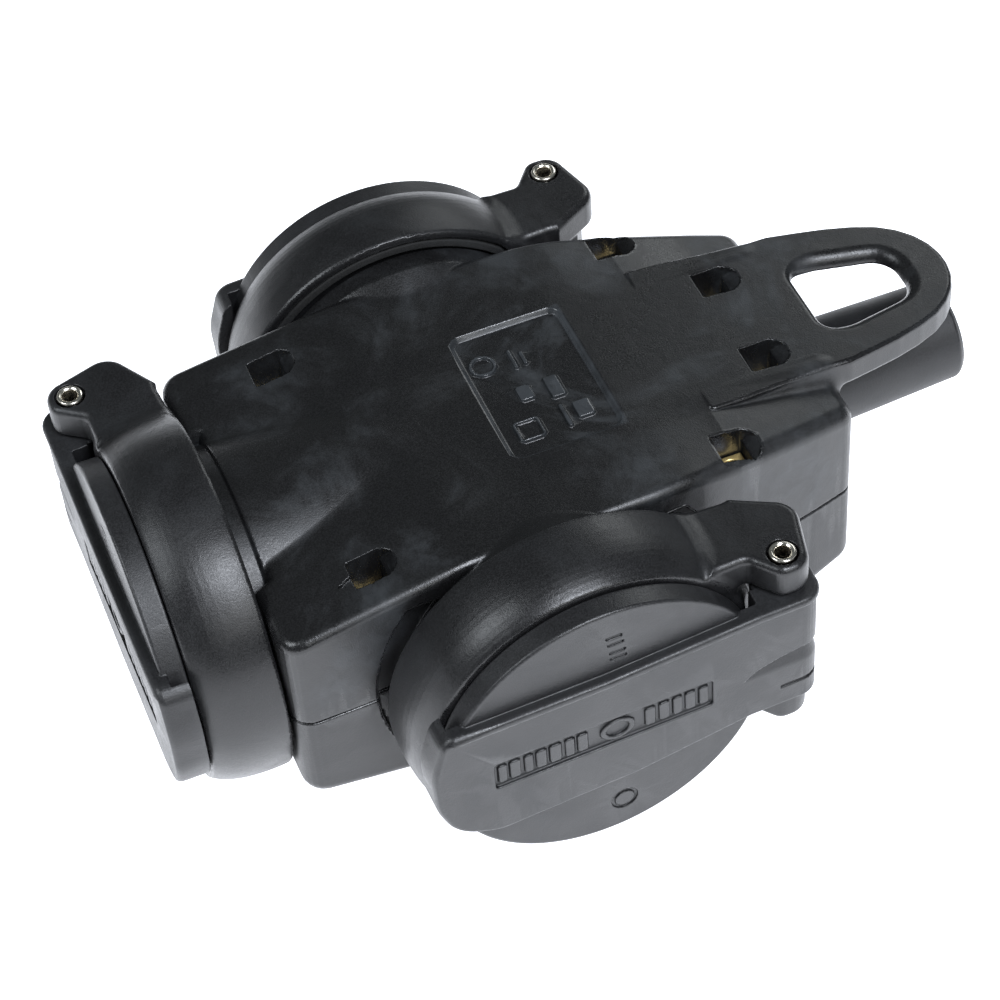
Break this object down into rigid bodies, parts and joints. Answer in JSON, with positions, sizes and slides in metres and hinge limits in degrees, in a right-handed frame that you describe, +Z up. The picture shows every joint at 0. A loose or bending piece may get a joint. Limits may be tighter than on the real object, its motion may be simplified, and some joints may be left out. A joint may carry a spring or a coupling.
{
  "type": "portable power distribution box",
  "caption": "Flat black splash-proof distribution box: hinged spring lids over round earthed sockets on three sides, cable sleeve and hanging eye at the rear.",
  "frame": {"origin": "the middle of the overall length, width and height, which lies on the parting plane between the shells", "axes": "+X towards the cable sleeve and hanging eye, +Y towards the far side socket, +Z up through the roof"},
  "size_m": [0.1494, 0.1088, 0.0602],
  "materials": {
    "shell_black": "fine-grained satin moulded plastic, dusty scuffs on the roof",
    "collar_black": "satin moulded plastic with a fine grain",
    "lid_black": "satin moulded plastic with a fine grain",
    "insert_grey": "smooth moulded thermoset",
    "rubber_black": "matt seal rubber",
    "sleeve_black": "matt flexible sleeve",
    "brass": "bright stamped brass",
    "nickel": "nickel-plated rolled tube",
    "spring_steel": "zinc-plated steel",
    "terminal_cream": "smooth cream thermoset"
  },
  "bodies": {
    "housing": {"upper_shell": "shell_black", "lower_shell": "shell_black", "near_collar": "collar_black", "near_neck_ring": "rubber_black", "near_socket_insert": "insert_grey", "near_earth_clip": "brass", "near_live_contact": "brass", "near_neutral_contact": "brass", "near_hinge_rivet": "nickel", "near_lid_spring": "spring_steel", "far_collar": "collar_black", "far_neck_ring": "rubber_black", "far_socket_insert": "insert_grey", "far_earth_clip": "brass", "far_live_contact": "brass", "far_neutral_contact": "brass", "far_hinge_rivet": "nickel", "far_lid_spring": "spring_steel", "front_collar": "collar_black", "front_neck_ring": "rubber_black", "front_socket_insert": "insert_grey", "front_earth_clip": "brass", "front_live_contact": "brass", "front_neutral_contact": "brass", "front_hinge_rivet": "nickel", "front_lid_spring": "spring_steel", "live_bus_bar": "brass", "neutral_bus_bar": "brass", "earth_bus_bar": "brass", "terminal_block": "terminal_cream", "terminal_screw_1": "spring_steel", "terminal_screw_2": "spring_steel", "terminal_screw_3": "spring_steel", "cable_sleeve": "sleeve_black", "cord_clamp": "insert_grey", "cord_clamp_screw_1": "spring_steel", "cord_clamp_screw_2": "spring_steel", "square_nut_1": "brass", "square_nut_2": "brass", "square_nut_3": "brass", "square_nut_4": "brass", "square_nut_5": "brass", "square_nut_6": "brass", "shell_screw_1": "spring_steel", "shell_screw_2": "spring_steel", "shell_screw_3": "spring_steel", "shell_screw_4": "spring_steel", "shell_screw_5": "spring_steel", "shell_screw_6": "spring_steel"},
    "near_lid": {"near_lid": "lid_black", "near_lid_gasket": "rubber_black"},
    "far_lid": {"far_lid": "lid_black", "far_lid_gasket": "rubber_black"},
    "front_lid": {"front_lid": "lid_black", "front_lid_gasket": "rubber_black"}
  },
  "joints": [
    {"name": "near_lid_hinge", "type": "hinge", "parent": "housing", "child": "near_lid", "pos_m": [0.02117, -0.04737, 0], "axis": [0, 0, 1], "range_deg": [0, 115]},
    {"name": "far_lid_hinge", "type": "hinge", "parent": "housing", "child": "far_lid", "pos_m": [0.02117, 0.04737, 0], "axis": [0, 0, -1], "range_deg": [0, 115]},
    {"name": "front_lid_hinge", "type": "hinge", "parent": "housing", "child": "front_lid", "pos_m": [-0.06925, 0.0318, 0], "axis": [0, 0, -1], "range_deg": [0, 115]}
  ]
}
